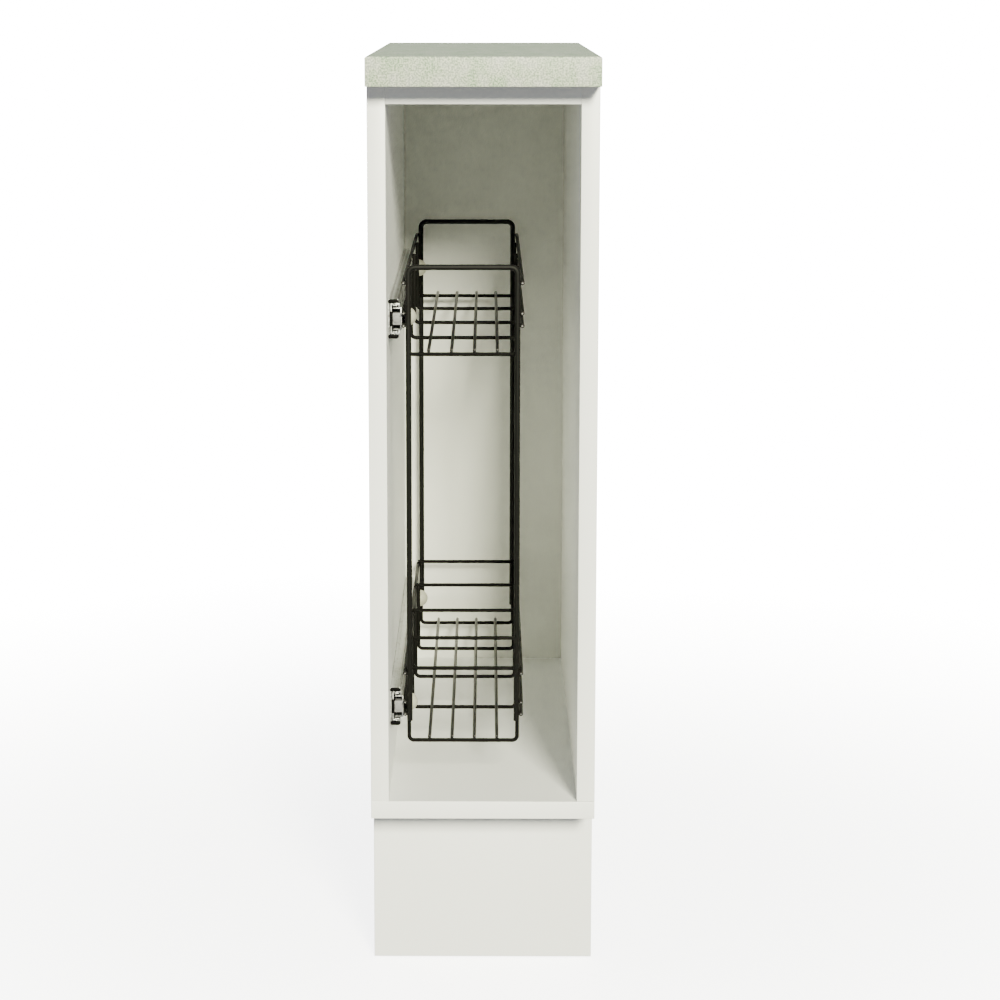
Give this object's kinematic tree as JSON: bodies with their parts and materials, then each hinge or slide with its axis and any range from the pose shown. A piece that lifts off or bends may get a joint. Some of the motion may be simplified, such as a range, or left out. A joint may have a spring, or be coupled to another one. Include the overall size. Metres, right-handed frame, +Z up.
{
  "type": "spice pull-out cabinet",
  "caption": "Narrow open-front kitchen base cabinet with worktop and plinth, holding a tiered black wire pull-out on telescopic slides along one side.",
  "frame": {"origin": "on the floor under the middle of the worktop", "axes": "+X to the right seen from the front, +Y towards the wall behind, +Z up; the open front faces -Y"},
  "size_m": [0.2, 0.6, 0.825],
  "materials": {
    "worktop_laminate": "stone-look laminate on chipboard, fine grey-green speckle",
    "white_board": "white melamine-faced chipboard with edge banding",
    "white_hardboard": "white lacquered hardboard",
    "black_wire": "satin black powder coat on steel wire",
    "galvanised_steel": "bright galvanised roll-formed sheet",
    "cage_steel": "pressed ball cage strip",
    "bearing_steel": "polished bearing balls",
    "zinc_screw": "zinc-plated steel",
    "black_plastic": "moulded black plastic",
    "grey_plastic": "moulded light grey plastic",
    "cream_plastic": "moulded cream plastic",
    "bumper_rubber": "soft black rubber",
    "beech_dowel": "fluted beech"
  },
  "bodies": {
    "cabinet": {"worktop": "worktop_laminate", "left_side_panel": "white_board", "right_side_panel": "white_board", "bottom_panel": "white_board", "front_top_rail": "white_board", "rear_top_rail": "white_board", "back_panel": "white_hardboard", "plinth_panel": "white_board", "plinth_clips": "black_plastic", "legs": "black_plastic", "rail_dowels": "beech_dowel", "carcass_screws": "zinc_screw", "worktop_screws": "zinc_screw", "upper_slide_cabinet_member": "galvanised_steel", "upper_slide_race_stops": "black_plastic", "upper_slide_rear_bumper": "bumper_rubber", "upper_slide_wall_screws": "zinc_screw", "lower_slide_cabinet_member": "galvanised_steel", "lower_slide_race_stops": "black_plastic", "lower_slide_rear_bumper": "bumper_rubber", "lower_slide_wall_screws": "zinc_screw"},
    "pullout": {"front_frame": "black_wire", "rear_frame": "black_wire", "lower_basket_dividers": "black_wire", "upper_basket_ribs": "black_wire", "upper_basket_side_wires": "black_wire", "upper_basket_floor_wires": "black_wire", "upper_slide_basket_member": "galvanised_steel", "upper_slide_end_cap": "grey_plastic", "upper_clamp_discs": "cream_plastic", "upper_clamp_screws": "zinc_screw", "lower_basket_ribs": "black_wire", "lower_basket_side_wires": "black_wire", "lower_basket_floor_wires": "black_wire", "lower_slide_basket_member": "galvanised_steel", "lower_slide_end_cap": "grey_plastic", "lower_clamp_discs": "cream_plastic", "lower_clamp_screws": "zinc_screw"},
    "upper_slide_middle": {"upper_slide_middle_member": "galvanised_steel", "upper_slide_middle_stops": "galvanised_steel", "upper_slide_front_buffer": "black_plastic"},
    "upper_outer_bearing": {"upper_slide_outer_cages": "cage_steel", "upper_slide_outer_balls": "bearing_steel"},
    "upper_inner_bearing": {"upper_slide_inner_cages": "cage_steel", "upper_slide_inner_balls": "bearing_steel"},
    "lower_slide_middle": {"lower_slide_middle_member": "galvanised_steel", "lower_slide_middle_stops": "galvanised_steel", "lower_slide_front_buffer": "black_plastic"},
    "lower_outer_bearing": {"lower_slide_outer_cages": "cage_steel", "lower_slide_outer_balls": "bearing_steel"},
    "lower_inner_bearing": {"lower_slide_inner_cages": "cage_steel", "lower_slide_inner_balls": "bearing_steel"},
    "front_left_foot": {"front_left_foot": "black_plastic"},
    "front_right_foot": {"front_right_foot": "black_plastic"},
    "rear_left_foot": {"rear_left_foot": "black_plastic"},
    "rear_right_foot": {"rear_right_foot": "black_plastic"}
  },
  "joints": [
    {"name": "pullout_slide", "type": "slide", "parent": "cabinet", "child": "pullout", "axis": [0, -1, 0], "range_m": [0, 0.45]},
    {"name": "upper_slide_middle_run", "type": "slide", "parent": "cabinet", "child": "upper_slide_middle", "axis": [0, -1, 0], "range_m": [0, 0.225]},
    {"name": "upper_outer_bearing_run", "type": "slide", "parent": "cabinet", "child": "upper_outer_bearing", "axis": [0, -1, 0], "range_m": [0, 0.1125]},
    {"name": "upper_inner_bearing_run", "type": "slide", "parent": "cabinet", "child": "upper_inner_bearing", "axis": [0, -1, 0], "range_m": [0, 0.3375]},
    {"name": "lower_slide_middle_run", "type": "slide", "parent": "cabinet", "child": "lower_slide_middle", "axis": [0, -1, 0], "range_m": [0, 0.225]},
    {"name": "lower_outer_bearing_run", "type": "slide", "parent": "cabinet", "child": "lower_outer_bearing", "axis": [0, -1, 0], "range_m": [0, 0.1125]},
    {"name": "lower_inner_bearing_run", "type": "slide", "parent": "cabinet", "child": "lower_inner_bearing", "axis": [0, -1, 0], "range_m": [0, 0.3375]},
    {"name": "front_left_foot_height", "type": "slide", "parent": "cabinet", "child": "front_left_foot", "axis": [0, 0, -1], "range_m": [-0.015, 0.02]},
    {"name": "front_right_foot_height", "type": "slide", "parent": "cabinet", "child": "front_right_foot", "axis": [0, 0, -1], "range_m": [-0.015, 0.02]},
    {"name": "rear_left_foot_height", "type": "slide", "parent": "cabinet", "child": "rear_left_foot", "axis": [0, 0, -1], "range_m": [-0.015, 0.02]},
    {"name": "rear_right_foot_height", "type": "slide", "parent": "cabinet", "child": "rear_right_foot", "axis": [0, 0, -1], "range_m": [-0.015, 0.02]}
  ],
  "couplings": [
    {"joint": "upper_slide_middle_run", "follows": "pullout_slide", "ratio": 0.5},
    {"joint": "upper_outer_bearing_run", "follows": "pullout_slide", "ratio": 0.25},
    {"joint": "upper_inner_bearing_run", "follows": "pullout_slide", "ratio": 0.75},
    {"joint": "lower_slide_middle_run", "follows": "pullout_slide", "ratio": 0.5},
    {"joint": "lower_outer_bearing_run", "follows": "pullout_slide", "ratio": 0.25},
    {"joint": "lower_inner_bearing_run", "follows": "pullout_slide", "ratio": 0.75}
  ]
}
